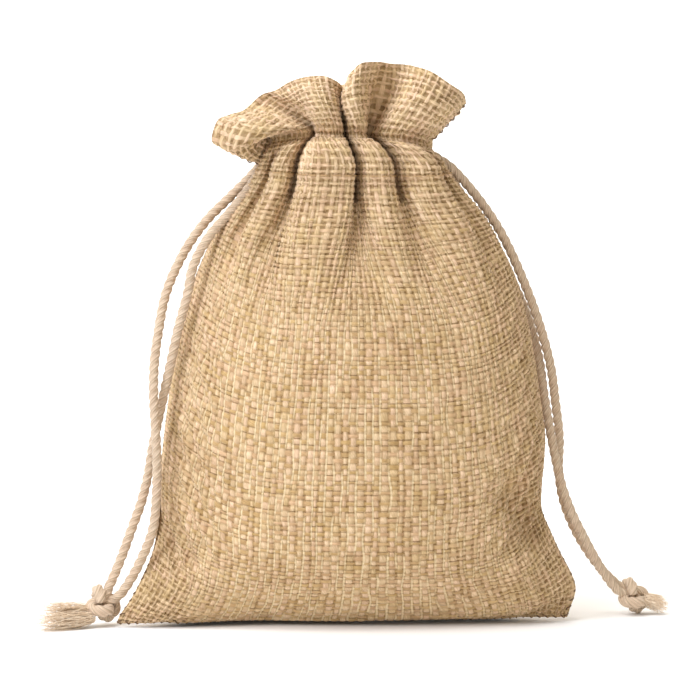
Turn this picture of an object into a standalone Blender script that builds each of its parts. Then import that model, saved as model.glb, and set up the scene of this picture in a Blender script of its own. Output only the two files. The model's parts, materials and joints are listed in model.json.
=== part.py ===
"""Drawstring gift pouch, standing filled with its neck drawn closed.

Frame: metres, +Z up, the front face looks along -Y. The origin is on the floor, under the middle of the pouch.
The cloth is one node for each region of each face: panel, cord casing and heading. Two drawcords run round the
neck inside the casings. One leaves at the left side and one at the right, and each ends in an overhand knot.
"""

import math

import bmesh
import bpy
from mathutils import Matrix, Vector

MM = 0.001

# Cloth
CLOTH = 1.3 * MM
SEAM_HALF = 0.6 * MM
GAP = 0.35 * MM
SEAM_ALLOWANCE = 4.0 * MM
SEAM_PROUD = 0.5 * MM
RING_LIFT = 0.05 * MM

# Neck, from the bottom up
PANEL_TOP = 126.4 * MM
CASING_MIDDLE = 133.0 * MM
HEADING_BOTTOM = 139.6 * MM
HEADING_TOP = 159.5 * MM
HEADING_WALL = 2.6 * MM
HEADING_BASE = (18.4 * MM, 10.8 * MM)
HEADING_FLARE = (15.0 * MM, 6.6 * MM)
HEADING_PETALS = 5
HEADING_WAVE = 0.10
HEADING_SIDE_DROP = 5.0 * MM

# Cord casing: a tube of cloth swept along an ellipse round the throat
RING_X = 16.6 * MM
RING_Y = 9.2 * MM
TUNNEL_HALF_HIGH = 3.5 * MM
TUNNEL_HALF_WIDE = 2.0 * MM
CASING_WALL = 2.0 * MM
GATHERED_WALL = 5.0 * MM
SKIRT = 2.0 * MM
SIDE_SLIT_HALF = 4.0 * MM

# Drawcords
CORD_RADIUS = 1.2 * MM
CORD_STACK = 1.35 * MM
SWING_CLEARANCE = 0.3 * MM
STITCH_RADIUS = 0.3 * MM

# Height, half width and half depth of the filled pouch
BODY_SECTIONS = (
    (0.0, 63.0, 17.0),
    (1.3, 64.0, 20.0),
    (4.0, 64.6, 23.0),
    (7.0, 64.0, 25.0),
    (10.5, 62.0, 26.5),
    (15.0, 59.4, 27.6),
    (20.0, 57.3, 28.4),
    (27.0, 55.2, 29.0),
    (36.0, 54.2, 29.0),
    (47.0, 53.6, 28.8),
    (58.0, 52.0, 28.4),
    (70.0, 50.2, 27.6),
    (82.0, 48.2, 26.2),
    (93.0, 45.6, 24.6),
    (102.0, 42.8, 23.0),
    (110.0, 39.0, 21.0),
    (117.0, 34.4, 19.0),
    (122.0, 30.2, 17.4),
    (126.4, 26.4, 16.2),
)

# Free cords, from the side of the neck to the knot, in millimetres
LEFT_FRONT_ROUTE = (
    (-27.6, -3.2, 128.5),
    (-31.0, -5.6, 123.6),
    (-35.2, -7.8, 117.0),
    (-40.2, -9.3, 108.6),
    (-43.8, -9.6, 101.0),
    (-46.3, -9.4, 93.0),
    (-48.8, -9.0, 83.0),
    (-50.6, -8.6, 74.0),
    (-52.2, -8.0, 66.0),
    (-53.6, -7.5, 59.0),
    (-55.2, -7.0, 50.5),
    (-57.2, -6.5, 42.5),
    (-59.2, -6.2, 34.5),
    (-61.6, -6.2, 27.0),
    (-64.6, -6.6, 19.5),
    (-67.4, -7.2, 13.4),
    (-69.3, -7.8, 10.9),
)
LEFT_BACK_ROUTE = (
    (-27.6, 2.0, 128.5),
    (-32.0, 1.6, 124.2),
    (-36.6, 1.0, 119.6),
    (-41.4, 0.2, 114.2),
    (-45.6, -1.0, 108.2),
    (-49.2, -2.6, 101.4),
    (-52.0, -4.4, 93.0),
    (-54.0, -6.8, 83.0),
    (-55.2, -9.2, 74.0),
    (-55.4, -11.0, 65.0),
    (-54.9, -11.9, 57.0),
    (-54.3, -12.0, 47.0),
    (-54.3, -11.6, 37.0),
    (-55.2, -10.8, 27.0),
    (-58.0, -9.8, 19.2),
    (-61.6, -9.0, 12.8),
    (-65.4, -8.7, 7.9),
)
RIGHT_FRONT_ROUTE = (
    (27.6, -2.6, 130.6),
    (32.0, -1.2, 126.6),
    (37.0, 0.2, 120.8),
    (41.6, 0.8, 114.2),
    (45.6, 1.0, 107.0),
    (49.2, 1.0, 99.0),
    (52.4, 1.2, 91.0),
    (55.4, 1.8, 82.0),
    (57.6, 2.4, 73.0),
    (59.0, 3.0, 63.0),
    (60.2, 3.6, 52.5),
    (61.3, 4.2, 42.5),
    (62.5, 4.8, 34.0),
    (65.3, 5.8, 26.2),
    (69.2, 7.2, 19.2),
    (73.4, 9.0, 13.6),
    (77.3, 10.9, 9.2),
)
RIGHT_BACK_ROUTE = (
    (27.6, 3.4, 130.6),
    (30.6, 5.0, 125.4),
    (34.6, 6.4, 119.4),
    (38.2, 7.0, 113.0),
    (41.6, 7.0, 106.6),
    (44.9, 6.6, 100.0),
    (48.2, 6.0, 92.4),
    (51.2, 5.0, 84.0),
    (53.8, 4.0, 75.0),
    (55.6, 2.8, 65.0),
    (57.0, 1.4, 55.4),
    (58.6, 0.2, 46.6),
    (60.6, -0.1, 38.4),
    (63.0, 0.4, 31.0),
    (66.4, 2.0, 23.6),
    (70.4, 4.4, 16.4),
    (74.4, 7.0, 10.4),
    (77.0, 8.0, 7.0),
)
LEFT_KNOT = (-72.2, -8.2, 5.7)
LEFT_KNOT_RADII = (4.9, 4.9, 5.7)
RIGHT_KNOT = (82.4, 10.6, 4.8)
RIGHT_KNOT_RADII = (5.0, 4.8, 4.8)

JUTE = (0.62, 0.45, 0.26)
SEAM_THREAD = (0.36, 0.27, 0.19)
COTTON = (0.70, 0.60, 0.48)


def clear_scene():
    for thing in list(bpy.data.objects):
        bpy.data.objects.remove(thing)


def collection(name):
    made = bpy.data.collections.new(name)
    bpy.context.scene.collection.children.link(made)
    return made


def material(name, colour, roughness):
    made = bpy.data.materials.new(name)
    made.use_nodes = True
    shader = made.node_tree.nodes["Principled BSDF"]
    shader.inputs["Base Color"].default_value = (*colour, 1.0)
    shader.inputs["Roughness"].default_value = roughness
    shader.inputs["Metallic"].default_value = 0.0
    return made


def finish(thing, group, look):
    """Puts the object in its collection only, gives it its material and rounds its shading."""
    for other in list(thing.users_collection):
        other.objects.unlink(thing)
    group.objects.link(thing)
    thing.data.materials.clear()
    thing.data.materials.append(look)
    if thing.type == "MESH":
        thing.data.shade_smooth()
        thing.data.set_sharp_from_angle(angle=math.radians(40))
    return thing


def smooth_points(route, spacing):
    """Points about spacing apart along a Catmull-Rom curve through the route's own points."""
    points = [Vector(p) for p in route]
    ends = [2 * points[0] - points[1], *points, 2 * points[-1] - points[-2]]
    found = []
    for a, b, c, d in zip(ends, ends[1:], ends[2:], ends[3:]):
        steps = max(1, round((c - b).length / spacing))
        for i in range(steps):
            t = i / steps
            found.append(
                0.5 * (2 * b + (c - a) * t + (2 * a - 5 * b + 4 * c - d) * t**2 + (3 * b - a - 3 * c + d) * t**3)
            )
    return [*found, points[-1]]


def loft(name, loops, group, look):
    """A closed solid through loops with the same number of points, with flat ends."""
    mesh = bmesh.new()
    rings = [[mesh.verts.new(point) for point in loop] for loop in loops]
    count = len(rings[0])
    for low, high in zip(rings, rings[1:]):
        for i in range(count):
            j = (i + 1) % count
            mesh.faces.new((low[i], low[j], high[j], high[i]))
    mesh.faces.new(rings[0])
    mesh.faces.new(rings[-1])
    bmesh.ops.recalc_face_normals(mesh, faces=mesh.faces)
    data = bpy.data.meshes.new(name)
    mesh.to_mesh(data)
    mesh.free()
    return finish(bpy.data.objects.new(name, data), group, look)


def arc_points(half_width, half_depth, near_seam, side, roundness, count):
    """Half of a pouch section, from the left seam round one face to the right seam. side is -1 in front."""
    found = []
    for i in range(count + 1):
        angle = math.pi * i / count
        bulge = max(0.0, math.sin(angle)) ** roundness
        found.append((-half_width * math.cos(angle), side * (near_seam + (half_depth - near_seam) * bulge)))
    return found


def panel(name, side, group, look):
    """One face of the pouch: its half of the base, flat on the floor, and its bulging wall."""
    count = 26
    seam = SEAM_HALF + GAP
    loops = []
    for z, half_width, half_depth in BODY_SECTIONS:
        roundness = 0.78 + 0.5 * max(0.0, 1 - z / 30)
        outer = arc_points(half_width * MM, half_depth * MM, seam, side, roundness, count)
        inner = arc_points(half_width * MM - CLOTH, half_depth * MM - CLOTH, seam, side, roundness, count)
        straight = [(x, side * seam) for x, _ in inner]
        if z * MM <= CLOTH:
            loops.append([(x, y, z * MM) for x, y in outer + straight[::-1]])
        if z * MM >= CLOTH:
            loops.append([(x, y, z * MM) for x, y in outer + inner[::-1]])
    # The base's upper face and the wall's first ring would lie in one plane, so the ring is lifted a little.
    loops[2] = [(x, y, z + RING_LIFT) for x, y, z in loops[2]]
    return loft(name, loops, group, look)


def neck_point(angle, radius_x, radius_y, side):
    return radius_x * math.cos(angle), side * radius_y * math.sin(angle)


def heading(name, side, group, look):
    """The ruffle above the casing on one face: a gathered, flaring double layer of cloth."""
    count, rows = 40, 7
    slit = math.asin(SEAM_HALF / RING_Y)
    loops = []
    for row in range(rows + 1):
        t = row / rows
        z = HEADING_BOTTOM + (HEADING_TOP - HEADING_BOTTOM) * t
        flare = t**0.8
        middle_x = HEADING_BASE[0] + HEADING_FLARE[0] * flare
        middle_y = HEADING_BASE[1] + HEADING_FLARE[1] * flare
        outer, inner = [], []
        for i in range(count + 1):
            angle = math.pi - slit - (math.pi - 2 * slit) * i / count
            wave = 1 + HEADING_WAVE * flare * math.cos(2 * HEADING_PETALS * (angle - math.pi / 2))
            drop = HEADING_SIDE_DROP * t * abs(math.cos(angle)) ** 1.5
            for ring, grow in ((outer, HEADING_WALL / 2), (inner, -HEADING_WALL / 2)):
                x, y = neck_point(angle, middle_x * wave + grow, middle_y * wave + grow, side)
                ring.append((x, side * max(abs(y), SEAM_HALF), z - drop))
        loops.append(outer + inner[::-1])
    return loft(name, loops, group, look)


def neck_path(first, last, count, grow=0.0):
    """Points round the neck's ellipse at angles in radians, anticlockwise seen from above."""
    return [
        (
            (RING_X + grow) * math.cos(first + (last - first) * i / count),
            (RING_Y + grow) * math.sin(first + (last - first) * i / count),
        )
        for i in range(count + 1)
    ]


def rounded(points, low, high):
    """The points with a rounded start, end or both, as (point, share of the full radius)."""
    found = [(point, 1.0) for point in points]
    for wanted, place, inward in ((low, 0, 1), (high, -1, -1)):
        if not wanted:
            continue
        tip = Vector(points[place])
        along = (Vector(points[place + inward]) - tip).normalized()
        nose = [
            (tip + along * CORD_RADIUS * depth, math.sqrt(1 - (1 - depth) ** 2)) for depth in (0.04, 0.22, 0.5, 1.0)
        ]
        rest = [pair for pair in found if (pair[0] - tip).length > 1.3 * CORD_RADIUS]
        found = nose + rest if place == 0 else rest + nose[::-1]
    return found


def tube(name, points, radius, group, look, sides=2):
    """A round cord or thread along a list of points. A point may come with its own share of the radius."""
    curve = bpy.data.curves.new(name, "CURVE")
    curve.dimensions = "3D"
    curve.bevel_depth = radius
    curve.bevel_resolution = sides
    curve.use_fill_caps = True
    spline = curve.splines.new("POLY")
    spline.points.add(len(points) - 1)
    for target, point in zip(spline.points, points):
        place, share = point if isinstance(point[1], float) and len(point) == 2 else (point, 1.0)
        target.co = (*place, 1.0)
        target.radius = share
    return finish(bpy.data.objects.new(name, curve), group, look)


def casing(name, side, group, look):
    """The cord casing of one face: a hollow tube of cloth round half the neck, open at both side slits."""
    slit = math.asin(SIDE_SLIT_HALF / RING_Y)
    count, around = 22, 16
    loops_out, loops_in = [], []
    for i in range(count + 1):
        angle = slit + (math.pi - 2 * slit) * i / count
        centre = Vector((RING_X * math.cos(angle), side * RING_Y * math.sin(angle), CASING_MIDDLE))
        outward = Vector((RING_Y * math.cos(angle), side * RING_X * math.sin(angle), 0)).normalized()
        gather = 1 + 0.06 * math.cos(11 * angle)
        ring_out, ring_in = [], []
        for k in range(around):
            turn = 2 * math.pi * k / around
            across, up = math.cos(turn), math.sin(turn)
            high = TUNNEL_HALF_HIGH + 1.3 * CASING_WALL
            wide = (TUNNEL_HALF_WIDE + CASING_WALL) * across
            if across > 0.01:
                wide = (TUNNEL_HALF_WIDE + GATHERED_WALL) * gather * across ** (0.5 if up < 0 else 1)
                wide += SKIRT * max(0.0, -up)
            ring_out.append(centre + outward * wide + Vector((0, 0, high * up)))
            ring_in.append(centre + outward * TUNNEL_HALF_WIDE * across + Vector((0, 0, TUNNEL_HALF_HIGH * up)))
        loops_out.append(ring_out)
        loops_in.append(ring_in)
    return hollow(name, loops_out, loops_in, group, look)


def hollow(name, outer, inner, group, look):
    """A tube wall between outer and inner loops, open at both ends."""
    mesh = bmesh.new()
    walls = [[[mesh.verts.new(p) for p in loop] for loop in loops] for loops in (outer, inner)]
    count = len(outer[0])
    for rings in walls:
        for low, high in zip(rings, rings[1:]):
            for i in range(count):
                j = (i + 1) % count
                mesh.faces.new((low[i], low[j], high[j], high[i]))
    for end in (0, -1):
        for i in range(count):
            j = (i + 1) % count
            mesh.faces.new((walls[0][end][i], walls[0][end][j], walls[1][end][j], walls[1][end][i]))
    bmesh.ops.recalc_face_normals(mesh, faces=mesh.faces)
    data = bpy.data.meshes.new(name)
    mesh.to_mesh(data)
    mesh.free()
    return finish(bpy.data.objects.new(name, data), group, look)


def side_seam(name, side, group, look):
    """The sewn edge where front and back meet: a strip from the base to the cord slit, just proud of the cloth."""
    loops = []
    for z, half_width, _ in BODY_SECTIONS:
        height = max(z * MM, CLOTH + GAP)
        out = side * (half_width * MM + SEAM_PROUD)
        inward = side * (half_width * MM - SEAM_ALLOWANCE)
        if loops and height <= loops[-1][0][2]:
            continue
        corners = ((out, -SEAM_HALF), (out, SEAM_HALF), (inward, SEAM_HALF), (inward, -SEAM_HALF))
        loops.append([(x, y, height) for x, y in corners])
    return loft(name, loops, group, look)


def bottom_seam(name, group, look):
    """The sewn edge across the base, a straight strip between the two panels."""
    bpy.ops.mesh.primitive_cube_add(size=1)
    thing = bpy.context.object
    thing.name = name
    half_length = BODY_SECTIONS[0][1] * MM + SEAM_PROUD
    thing.data.transform(Matrix.Diagonal((2 * half_length, 2 * SEAM_HALF, CLOTH, 1.0)))
    thing.location = (0, 0, CLOTH / 2)
    return finish(thing, group, look)


def casing_stitching(name, side, group, look):
    """The row of sewing that closes the casing's lower edge, along the top of the panel."""
    top_width, top_depth = (v * MM for v in BODY_SECTIONS[-1][1:])
    height = PANEL_TOP + GAP + STITCH_RADIUS
    start = math.radians(24)
    points = []
    count = 28
    for i in range(count + 1):
        angle = start + (math.pi - 2 * start) * i / count
        x, y = neck_point(angle, top_width + 1.5 * STITCH_RADIUS, top_depth + 1.5 * STITCH_RADIUS, side)
        points.append((x, y, height))
    return tube(name, points, STITCH_RADIUS, group, look, sides=1)


def cord_loop(name, side, group, look):
    """The part of a drawcord inside the casings. side is where the cord leaves the pouch, -1 on the left."""
    height = CASING_MIDDLE + side * CORD_STACK
    slit = math.asin(SIDE_SLIT_HALF / RING_Y)
    leave = math.pi if side < 0 else 0.0
    path = neck_path(leave + slit, leave + 2 * math.pi - slit, 46)
    return tube(name, [(x, y, height) for x, y in path], CORD_RADIUS, group, look)


def cord_lead(name, side, face, route, group, look):
    """The cord from the casing's mouth to the edge of the neck, where its hanging part's route starts."""
    height = (CASING_MIDDLE + side * CORD_STACK) / MM
    mouth = Vector((side * 15.5, face * 3.3, height))
    turn = Vector((side * 20.0, face * 2.3, height))
    along = (Vector(route[1]) - Vector(route[0])).normalized()
    stop = Vector(route[0]) - along * SWING_CLEARANCE / MM
    before = stop - 2.2 * along
    points = smooth_points((mouth, turn, before, stop), 1.6)
    return tube(name, rounded([p * MM for p in points], False, True), CORD_RADIUS, group, look)


def cord_strand(name, route, group, look):
    """A free cord from just past its lead to its knot."""
    points = smooth_points(route, 3.4)
    along = (Vector(route[1]) - Vector(route[0])).normalized()
    points[0] = points[0] + along * SWING_CLEARANCE / MM
    return tube(name, rounded([p * MM for p in points], True, False), CORD_RADIUS, group, look)


def knot(name, centre, radii, group, look):
    """The overhand knot that joins a cord's two ends, as a lumpy ball."""
    bpy.ops.mesh.primitive_uv_sphere_add(segments=16, ring_count=10, radius=1)
    thing = bpy.context.object
    thing.name = name
    for vertex in thing.data.vertices:
        x, y, z = vertex.co
        lump = 1 - 0.06 * math.cos(3 * math.atan2(y, x)) * (1 - z * z)
        vertex.co = (x * radii[0] * lump * MM, y * radii[1] * lump * MM, z * radii[2] * MM)
    thing.location = Vector(centre) * MM
    return finish(thing, group, look)


def frayed_end(name, start, end, radii, group, look):
    """A cut cord end beyond the knot, where the strands fan out."""
    start, end = Vector(start) * MM, Vector(end) * MM
    along = end - start
    bpy.ops.mesh.primitive_cone_add(vertices=12, radius1=radii[0] * MM, radius2=radii[1] * MM, depth=along.length)
    thing = bpy.context.object
    thing.name = name
    thing.rotation_mode = "QUATERNION"
    thing.rotation_quaternion = along.to_track_quat("Z", "Y")
    thing.location = (start + end) / 2
    return finish(thing, group, look)


def main():
    clear_scene()
    pouch = collection("drawstring_gift_pouch")
    cloth = material("jute_cloth", JUTE, 0.9)
    thread = material("seam_thread", SEAM_THREAD, 0.8)
    cotton = material("cotton_cord", COTTON, 0.85)

    for face, side in (("front", -1), ("back", 1)):
        panel(face + "_panel", side, pouch, cloth)
        casing(face + "_casing", side, pouch, cloth)
        heading(face + "_heading", side, pouch, cloth)
        casing_stitching(face + "_casing_stitching", side, pouch, thread)
    side_seam("left_side_seam", -1, pouch, thread)
    side_seam("right_side_seam", 1, pouch, thread)
    bottom_seam("bottom_seam", pouch, thread)

    routes = {
        "left": (-1, LEFT_FRONT_ROUTE, LEFT_BACK_ROUTE, LEFT_KNOT, LEFT_KNOT_RADII),
        "right": (1, RIGHT_FRONT_ROUTE, RIGHT_BACK_ROUTE, RIGHT_KNOT, RIGHT_KNOT_RADII),
    }
    for name, (side, front, back, centre, radii) in routes.items():
        cord_loop(name + "_cord_loop", side, pouch, cotton)
        for face, sign, route in (("front", -1, front), ("back", 1, back)):
            cord_lead(f"{name}_{face}_lead", side, sign, route, pouch, cotton)
            cord_strand(f"{name}_{face}_strand", route, pouch, cotton)
        knot(name + "_knot", centre, radii, pouch, cotton)
    frayed_end("left_front_end", (-77.6, -10.6, 4.6), (-85.4, -12.4, 3.6), (1.5, 2.6), pouch, cotton)
    frayed_end("left_back_end", (-77.6, -5.8, 6.6), (-84.6, -5.2, 6.4), (1.5, 2.4), pouch, cotton)
    frayed_end("right_front_end", (87.9, 8.6, 3.6), (91.6, 8.0, 3.4), (1.4, 2.2), pouch, cotton)
    frayed_end("right_back_end", (87.9, 12.8, 5.6), (91.4, 13.4, 5.2), (1.4, 2.1), pouch, cotton)


main()
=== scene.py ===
"""Drawstring gift pouch of jute-look cloth, standing filled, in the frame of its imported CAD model.

The front faces -Y. Lengths inside the shape functions are in millimetres and are turned to metres when a mesh
is made. Each face of the pouch is one rectangle of cloth, relaxed round its filling by a small cloth solver.
"""

import json
import math

import bmesh
import bpy
import numpy as np
from mathutils import Matrix, Vector

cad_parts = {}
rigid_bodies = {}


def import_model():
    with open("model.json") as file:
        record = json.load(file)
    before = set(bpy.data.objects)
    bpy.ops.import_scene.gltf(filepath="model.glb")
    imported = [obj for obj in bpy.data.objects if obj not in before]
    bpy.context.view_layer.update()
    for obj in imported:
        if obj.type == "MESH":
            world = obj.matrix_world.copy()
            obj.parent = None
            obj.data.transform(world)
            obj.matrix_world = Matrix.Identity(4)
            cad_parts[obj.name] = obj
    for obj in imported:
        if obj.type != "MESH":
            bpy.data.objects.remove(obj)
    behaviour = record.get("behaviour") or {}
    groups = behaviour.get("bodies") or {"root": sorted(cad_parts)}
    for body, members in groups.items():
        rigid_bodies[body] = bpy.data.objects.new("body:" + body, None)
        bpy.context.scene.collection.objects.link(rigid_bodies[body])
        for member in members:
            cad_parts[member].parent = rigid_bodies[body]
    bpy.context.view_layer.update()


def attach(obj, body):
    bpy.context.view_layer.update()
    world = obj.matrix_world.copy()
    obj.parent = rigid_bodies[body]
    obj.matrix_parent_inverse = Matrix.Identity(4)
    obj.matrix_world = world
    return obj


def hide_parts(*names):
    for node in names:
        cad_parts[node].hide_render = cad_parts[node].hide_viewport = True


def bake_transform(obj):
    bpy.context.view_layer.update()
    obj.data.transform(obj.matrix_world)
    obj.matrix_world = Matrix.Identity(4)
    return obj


MM = 0.001
# The cloth of one face: cut width, height from the bottom seam to the fold at the top, and its threads
CLOTH_WIDTH, CLOTH_HEIGHT = 130.0, 180.0
WARPS, WEFTS, HEM_WEFTS = 62, 112, 20
# Mesh points for each thread, across the cloth and up it
ACROSS, UP = 4, 3
# Distance from the outer cloth to the hem inside it
HEM_GAP = 1.15
# Heights up the cloth: the cord slits' lower ends, and the row of sewing that holds the hem down
SLIT_LOW, STITCHED = 146.0, 148.6
# Where the drawcords hold the cloth, and where the ruffle's free part starts
PINCH_LOW, PINCH_HIGH, RUFFLE_LOW = 154.5, 161.5, 163.0
# Where the cloth gets loose, as starts and ends in threads: from the middle, up the cloth, from the left edge
LOOSE_EAR, LOOSE_SIDE = (16.0, 26.0), (19.0, 28.0)
LOOSE_LOW, LOOSE_HIGH = (34.0, 14.0), (60.0, 100.0)
LOOSE_RIGHT = (WARPS / 2 + 4, WARPS / 2 + 20)
# How far forward the bottom corners point
LEFT_EAR, RIGHT_EAR = 13.0, 3.0
# Half width and half depth of the neck that the gathers below are laid out for
GATHERED_HALF, GATHERED_DEPTH = 24.0, 17.6
CORD_RADIUS, KNOT_CORD_RADIUS = 1.3, 1.6
# A cord's plies stand out a little beyond its mean radius
PLY_SWELL = 1.08
# How far the cord's loop inside the casing reaches to each side of the middle
LOOP_REACH = 15.5
# The lowest that the cloth's middle plane lies
FLOOR = 1.2

# Where each hanging cord runs, from the slit to just before its knot
LEFT_FRONT_ROUTE = (
    (-25.4, -3.2, 129.6), (-27.4, -5.2, 125.8), (-33, -7.6, 118.2), (-41, -9.3, 108.6), (-44.8, -9.6, 101),
    (-46.3, -9.4, 93), (-48.8, -9, 83), (-50.6, -8.6, 74), (-52.2, -8, 66), (-53.6, -7.5, 59),
    (-55.2, -7, 50.5), (-56.4, -6.5, 42.5), (-58.2, -6.2, 34.5), (-60.8, -6.4, 27), (-63.4, -6.8, 19.5),
    (-65.7, -7.6, 13.8), (-67.2, -8.4, 10.4),
)
LEFT_BACK_ROUTE = (
    (-25.4, 2, 129.2), (-28.8, 1.6, 125.6), (-34.4, 1, 120), (-39.8, 0.2, 114.6), (-44.6, -1, 108.4),
    (-48.6, -2.6, 101.4), (-52, -4.4, 93), (-54, -6.8, 83), (-55.2, -9.2, 74), (-55.4, -11, 65),
    (-54.9, -11.9, 57), (-54.3, -12, 47), (-54.3, -11.6, 37), (-55.2, -10.8, 27), (-58, -9.8, 19.2),
    (-61.2, -9.4, 12.8), (-64.6, -9.6, 8.2),
)
RIGHT_FRONT_ROUTE = (
    (27.6, -2.6, 130.6), (32.1, -1.2, 126.6), (37.4, 0.2, 120.8), (42.3, 0.8, 114.2), (46.5, 1, 107),
    (50.3, 1, 99), (53.7, 1.2, 91), (57, 1.8, 82), (59.6, 2.4, 73), (61.3, 3, 63), (62.8, 3.6, 52.5),
    (63, 4.2, 42.5), (64.7, 4.8, 34), (68.1, 5.8, 26.2), (72.5, 7.2, 19.2), (77.1, 9, 13.6),
    (81.8, 10.9, 9.2),
)
RIGHT_BACK_ROUTE = (
    (27.6, 3.4, 130.6), (30.8, 5, 125.4), (35, 6.4, 119.4), (38.9, 7, 113), (43.3, 7, 106.6),
    (47.1, 6.6, 100), (51, 6.2, 92.4), (54.2, 5.6, 84), (56.6, 4.8, 75), (57.9, 2.8, 65), (59.5, 1.4, 55.4),
    (61.2, 0.2, 46.6), (63.3, -0.1, 38.4), (66.3, 0.4, 31), (70.4, 2, 23.6), (74.8, 4.4, 16.4),
    (79.2, 7, 10.4), (82.5, 8, 7),
)

# Height of the side edge, half width there, for the left and the right side of the filled pouch
LEFT_OUTLINE = (
    (0.4, 65), (2.6, 64.6), (7, 61.6), (13, 58.2), (21, 54.6), (31, 52.8), (42, 52.9), (50, 52.2), (58, 51.4),
    (72, 49.6), (83, 47.6), (91, 45.7), (103, 42), (110, 39), (115, 36.2), (120, 32.2), (126, 27.6),
    (130, 25.4), (134, 23.8), (138.6, 22), (142, 21),
)
RIGHT_OUTLINE = (
    (1.2, 64.8), (4, 65.6), (7, 66.9), (10, 67.6), (12, 67), (20, 62.9), (27.5, 59.4), (32, 57.6), (38, 57.4),
    (47, 58), (53, 58.2), (65, 56.4), (76, 54.6), (85, 52.8), (91, 51.2), (101, 47.9), (109, 43.6),
    (118, 37.2), (124, 31.2), (130, 26.2), (134, 24.2), (138.6, 22.4), (142, 21.4),
)
# Height up the cloth against real height, at the middle of a face and at its side edges
MIDDLE_HEIGHTS = (
    (0, 1.2), (6, 1.2), (9, 1.5), (12, 2.8), (16, 5.2), (20, 7.8), (24, 10.6), (29, 14.2), (36, 20),
    (50, 32.2), (70, 51.8), (90, 71.2), (110, 90), (125, 104), (138, 116.2), (146, 124.4), (150, 128.6),
    (154, 133.2), (156, 135.8), (158, 137.5), (159.5, 138.1), (161, 139), (163, 141.4),
)
SIDE_HEIGHTS = (
    (0, 0.7), (5, 5.2), (10, 10.2), (20, 19.2), (30, 28.6), (50, 47), (70, 65.6), (90, 84), (110, 101.2),
    (125, 112.6), (138, 121.4), (146, 126.6), (150, 129.4), (154, 132), (157, 133.8), (159.5, 135.4),
    (163, 137.8),
)
# Height up the cloth against half depth at the middle of a face, before the cloth solver
MIDDLE_DEPTHS = (
    (0, 0.4), (6, 6.4), (9, 9.4), (12, 12.2), (16, 15.4), (20, 18.2), (24, 20.6), (29, 23), (36, 25),
    (50, 26.4), (70, 26.2), (90, 25.2), (110, 23.2), (125, 21), (138, 18.8), (146, 17.8), (150, 17.6),
    (154, 17.4), (163, 17),
)
# How the gathers narrow to the pinch and open again, up the cloth: across the pouch, then front to back
SQUEEZE_ACROSS = (
    (146, 1), (152, 1.05), (156, 1.04), (158, 0.97), (159.5, 0.9), (161, 0.9), (163, 0.96),
)
SQUEEZE_DEEP = (
    (146, 1), (152, 1.08), (156, 1.06), (157.5, 0.94), (159.5, 0.66), (161, 0.68), (163, 0.84),
)
# The greatest half depth that the pouch reaches at a height
DEPTH_LIMITS = (
    (0, 11), (4, 17.5), (10.5, 24.5), (20, 28), (36, 29), (58, 28.4), (82, 26.2), (102, 23), (117, 19),
    (126.4, 16.4),
)
# How deep the filling is in its middle, at shares of its height
FILLING_DEPTHS = (
    (-0.2, 6), (0, 9.5), (0.03, 14.5), (0.08, 20), (0.16, 23.8), (0.3, 25.6), (0.45, 25.8), (0.62, 24.6),
    (0.78, 21.8), (0.9, 17.4), (1, 12), (1.3, 8),
)
# Soft creases of the front face above its two ears: x and z of both ends, half width, depth
DENTS = (
    (46, 38, 54, 25, 4.8, 6.6), (60, 27, 48, 15, 4, -2.2), (-54, 29, -45, 20, 4.2, 3.4),
    (-33, 38, -38, 22, 7, 1.2),
)
# The front face's gathers in plan, from the left slit to the right one: share of the cloth's width, x, y.
# The first list is just below the drawcords and the second just above them.
GATHERS_BELOW = (
    (0, -22.5, -3.2), (0.027, -25, -5.6), (0.06, -23.6, -9.4), (0.089, -20.2, -7.6), (0.127, -21.6, -12.2),
    (0.152, -18.4, -14), (0.185, -15.8, -10.6), (0.22, -14, -6), (0.259, -14.6, -11), (0.293, -14, -15.4),
    (0.334, -11.5, -18.4), (0.378, -6, -19.2), (0.42, -1, -17.4), (0.456, -0.3, -13), (0.519, 0, -5),
    (0.578, 1.1, -12.5), (0.613, 2.6, -16.6), (0.642, 6, -17.6), (0.675, 8.9, -14.8), (0.74, 9.8, -6.2),
    (0.786, 11.6, -12.4), (0.823, 15.2, -15.6), (0.862, 20.6, -13.6), (0.894, 21.6, -9.6),
    (0.923, 19.4, -6.6), (0.956, 23.6, -7.2), (0.98, 24.6, -4.4), (1, 22.4, -3),
)
GATHERS_ABOVE = (
    (0, -22.5, -4), (0.045, -24, -8), (0.09, -21.6, -12.4), (0.13, -17.4, -13.8), (0.17, -14.2, -11),
    (0.21, -12.6, -7), (0.25, -11.8, -4.6), (0.29, -11.8, -8.6), (0.33, -12.2, -13), (0.37, -10.6, -16),
    (0.42, -6.4, -17.2), (0.47, -3.8, -14.6), (0.5, -3.2, -9.8), (0.53, -2.9, -4), (0.56, -2.3, -9.4),
    (0.59, -2, -14), (0.63, 0.6, -16.8), (0.67, 3.4, -14.4), (0.7, 4.2, -8.6), (0.74, 5.4, -1.6),
    (0.78, 7, -8.6), (0.82, 8.8, -14), (0.87, 13.6, -15.8), (0.92, 18.6, -13.6), (0.96, 21.8, -9.4),
    (1, 23.2, -4),
)
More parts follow.
